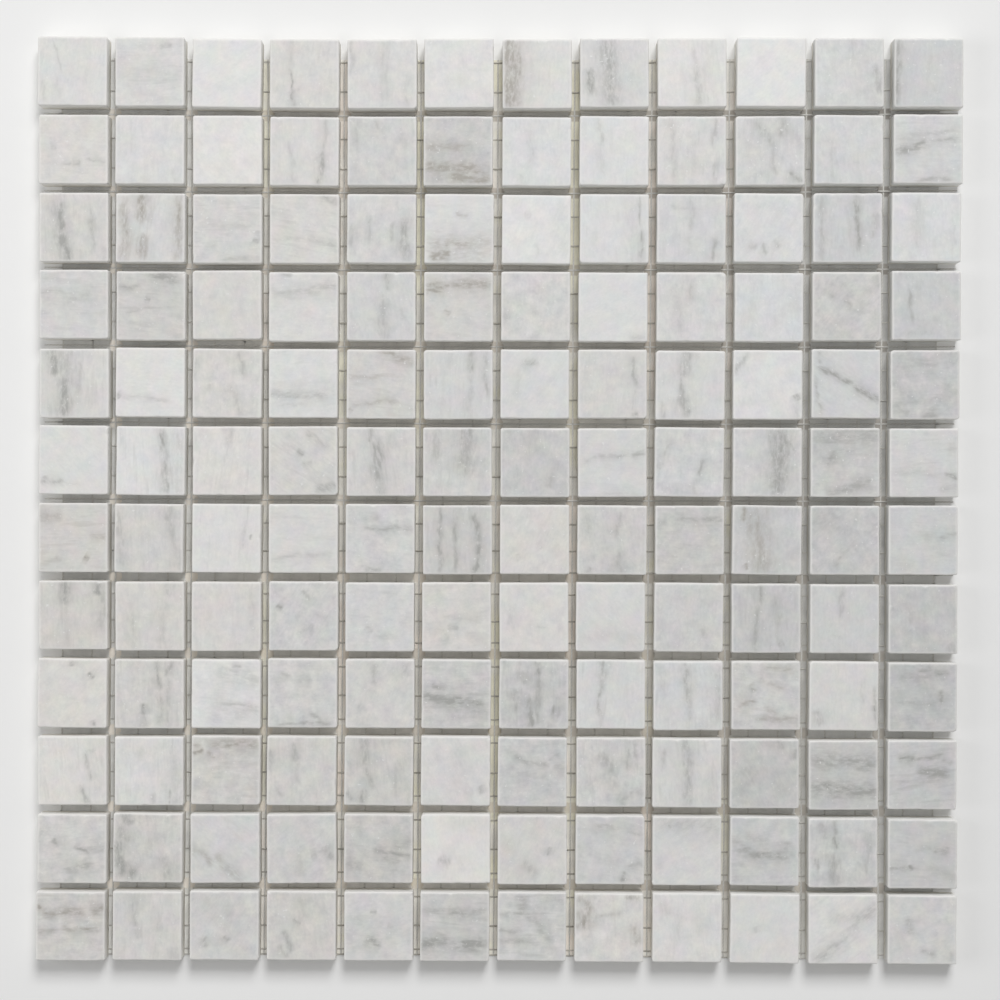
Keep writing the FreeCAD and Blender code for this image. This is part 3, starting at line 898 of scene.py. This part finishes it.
def make_back_material():
    """The undersides, with glue left along the yarns."""
    shader = Shader("marble_back")
    _, stone = shader.values("stone")
    (place_x, place_y, _, _), _ = shader.values("chip_place")
    colour, _ = stone_colour(shader, stone, 0.0)
    gaps = []
    for place in (place_x, place_y):
        distance = shader.math("ABSOLUTE", place)
        for line in (YARN_FROM_CHIP_CENTRE, PITCH_MM / 2):
            gaps.append(shader.math("ABSOLUTE", shader.math("SUBTRACT", distance, line)))
    nearest = gaps[0]
    for gap in gaps[1:]:
        nearest = shader.math("MINIMUM", nearest, gap)
    spread = shader.noise(stone, 0.35, 3.0, 0.6)
    glue = shader.ramp(shader.add(nearest, shader.times(spread, 2.2)), 1.9, 0.6)
    shader.surface("Base Color", shader.mix(shader.times(glue, 0.55), colour, GLUE_ON_BACK))
    shader.surface("Roughness", shader.math("SUBTRACT", 0.7, shader.times(glue, 0.35)))
    shader.surface("Normal", shader.bump(glue, 0.00012))
    return shader.material


def make_net_material(name, colours):
    """Glass-fibre yarn of twisted strands, under glue in the joints and towards the sheet's sides."""
    dark, pale = colours
    shader = Shader(name)
    (angle, along, x, in_joint), place = shader.values("yarn")
    twist = shader.math("SINE", shader.add(shader.times(angle, 2.0), shader.times(along, 5.5)))
    # Each yarn's colour goes between its darker and its paler colour in patches; the upper yarns are
    # coloured darker than the lower ones.
    patchy_tone = shader.noise(shader.stretch(place, (0.2, 1.0, 0.0)), 0.25, 2.0, 0.6)
    colour = shader.mix(shader.ramp(patchy_tone, -0.5, 0.5), dark, pale)
    outward = shader.ramp(shader.math("ABSOLUTE", x), 55, 115, 0.0, HIDDEN_BY_GLUE)
    colour = shader.mix(shader.math("MAXIMUM", in_joint, outward), colour, GLUE_ON_YARN)
    shader.surface("Base Color", shader.brighten(colour, shader.add(0.93, shader.times(twist, 0.07))))
    shader.surface("Roughness", 0.55)
    return shader.material


def make_glue_material():
    """Dried glue, greyish, olive or pinkish from joint to joint, and plain grey towards the sides, with
    painted light and shade: lighter in the joints between columns and towards the bottom, darker at the
    crossings.
    """
    shader = Shader("dried_glue")
    (x, y, between_columns, crossing), spot = shader.values("spot")
    joint_cast = shader.noise(shader.stretch(spot, (0.04, 0.006, 1.0)), 1.0, 1.0)
    patch_cast = shader.noise(spot, 0.06, 2.0, 0.6)
    cast = shader.add(joint_cast, shader.times(patch_cast, 0.6))
    olive = shader.ramp(cast, -0.04, -0.28)
    pinkish = shader.ramp(cast, 0.04, 0.28)
    colour = shader.mix(olive, GREYISH_GLUE, OLIVE_GLUE)
    colour = shader.mix(pinkish, colour, PINKISH_GLUE)
    colour = shader.mix(between_columns, GLUE_BETWEEN_ROWS, colour)
    outward = shader.ramp(shader.math("ABSOLUTE", x), 60, 115)
    colour = shader.mix(outward, colour, GLUE_TOWARDS_SIDES)
    colour = shader.mix(shader.times(crossing, 0.5), colour, GLUE_AT_CROSSINGS)
    # Painted light and shade: glue between the columns is painted lighter. It is darker towards the
    # right and the sides, and lighter towards the top and bottom ends. All joints are painted lighter
    # towards the bottom. The crossings are painted darker, most towards the right and the top.
    bowed = shader.add(shader.times(y, y), shader.times(x, x, -1.0))
    painted_column_light = shader.add(0.10, shader.times(x, -0.0012), shader.times(bowed, 0.0000088))
    painted_joint_light = shader.add(1.0, shader.times(between_columns, painted_column_light), shader.times(y, -0.0006))
    painted_crossing_shade = shader.add(0.86, shader.times(x, -0.0024), shader.times(y, -0.0012))
    light = shader.add(
        shader.ramp(crossing, 0.0, 1.0, painted_joint_light, painted_crossing_shade),
        shader.times(shader.noise(spot, 0.25, 3.0, 0.6), 0.22),
    )
    shader.surface("Base Color", shader.brighten(colour, light))
    shader.surface("Roughness", 0.5)
    return shader.material


def make_floor():
    """A wide white floor that fades into the white all round it.

    It can be looked through from below. Light passes it close under the sheet, so that the sheet's
    underside can be seen.
    """
    shader = Shader("white_floor")
    shader.surface("Base Color", FLOOR_COLOUR)
    shader.surface("Roughness", 0.9)
    shader.surface("Specular IOR Level", 0.0)
    output = shader.tree.nodes["Material Output"]
    geometry = shader.tree.nodes.new("ShaderNodeNewGeometry")
    path = shader.tree.nodes.new("ShaderNodeLightPath")
    clear = shader.tree.nodes.new("ShaderNodeBsdfTransparent")
    choose = shader.tree.nodes.new("ShaderNodeMixShader")
    distance = shader.tree.nodes.new("ShaderNodeVectorMath")
    distance.operation = "LENGTH"
    shader.put(distance.inputs[0], geometry.outputs["Position"])
    far = shader.ramp(distance.outputs["Value"], FADES_FROM, FADED_AT)
    seen = shader.math("MAXIMUM", path.outputs["Is Camera Ray"], path.outputs["Is Glossy Ray"])
    close = shader.math("LESS_THAN", path.outputs["Ray Length"], LIGHT_PASSES_WITHIN)
    see_through = shader.math("MAXIMUM", geometry.outputs["Backfacing"], shader.times(far, seen))
    shader.put(choose.inputs[0], shader.math("MAXIMUM", see_through, close))
    shader.put(choose.inputs[1], shader.principled.outputs[0])
    shader.put(choose.inputs[2], clear.outputs[0])
    shader.put(output.inputs["Surface"], choose.outputs[0])
    half = FLOOR_HALF_MM
    corners = [(-half, -half, 0), (half, -half, 0), (half, half, 0), (-half, half, 0)]
    floor = make_mesh("floor", corners, [(0, 1, 2, 3)], [False], shader.material)


def make_light(name, place, size, power):
    """A rectangular lamp that faces the sheet."""
    lamp = bpy.data.lights.new(name, "AREA")
    lamp.shape = "RECTANGLE"
    lamp.size, lamp.size_y = size
    lamp.energy = power
    holder = bpy.data.objects.new(name, lamp)
    holder.location = place
    holder.rotation_euler = Vector(place).to_track_quat("Z", "Y").to_euler()
    bpy.context.scene.collection.objects.link(holder)


def make_world():
    """Even light from all round, which the camera sees as white."""
    world = bpy.data.worlds.new("studio")
    bpy.context.scene.world = world
    world.use_nodes = True
    nodes, links = world.node_tree.nodes, world.node_tree.links
    background = nodes["Background"]
    path = nodes.new("ShaderNodeLightPath")
    seen = nodes.new("ShaderNodeMath")
    seen.operation = "MAXIMUM"
    links.new(path.outputs["Is Camera Ray"], seen.inputs[0])
    links.new(path.outputs["Is Glossy Ray"], seen.inputs[1])
    strength = nodes.new("ShaderNodeMapRange")
    strength.inputs["To Min"].default_value = FILL_LIGHT
    strength.inputs["To Max"].default_value = WHITE_SEEN
    links.new(seen.outputs[0], strength.inputs["Value"])
    links.new(strength.outputs[0], background.inputs["Strength"])
    background.inputs["Color"].default_value = (1, 1, 1, 1)


def make_camera():
    """A camera straight above the sheet."""
    camera = bpy.data.cameras.new("camera")
    camera.sensor_width = SENSOR_MM
    camera.lens = SENSOR_MM * PIXELS_PER_METRE * CAMERA_HEIGHT / FRAME_PIXELS
    holder = bpy.data.objects.new("camera", camera)
    holder.location = (CAMERA_X, CAMERA_Y, cad_high.z + CAMERA_HEIGHT)
    holder.rotation_euler = (0, 0, math.radians(CAMERA_ROLL_DEG))
    bpy.context.scene.collection.objects.link(holder)
    bpy.context.scene.camera = holder


marble = [make_face_material(), make_side_material(), make_back_material()]
looks = read_chips()
for number in range(1, CHIPS_PER_ROW + 1):
    first = (number - 1) * CHIPS_PER_ROW
    make_row("tile_row_%02d" % number, number, looks[first:first + CHIPS_PER_ROW], marble)
warp_look = make_net_material("net_warp_yarn", WARP_YARN)
weft_look = make_net_material("net_weft_yarn", WEFT_YARN)
warp_lines, _ = yarn_lines("net_warp_yarns", 0)
weft_lines, _ = yarn_lines("net_weft_yarns", 1)
make_yarns("net_warp", "net_warp_yarns", 0, weft_lines, 0, warp_look)
make_yarns("net_weft", "net_weft_yarns", 1, warp_lines, 1, weft_look)
make_glue(make_glue_material())

make_floor()
make_world()
make_light("key", (0.28, 1.26, 1.65), (0.75, 0.9), 27.3)
make_light("left_fill", (-0.90, 0.0, 0.70), (0.6, 0.6), 2.45)
make_light("from_below", (0.0, 0.0, -1.0), (1.2, 1.2), 5.5)
make_camera()
bpy.context.scene.view_settings.view_transform = "Standard"
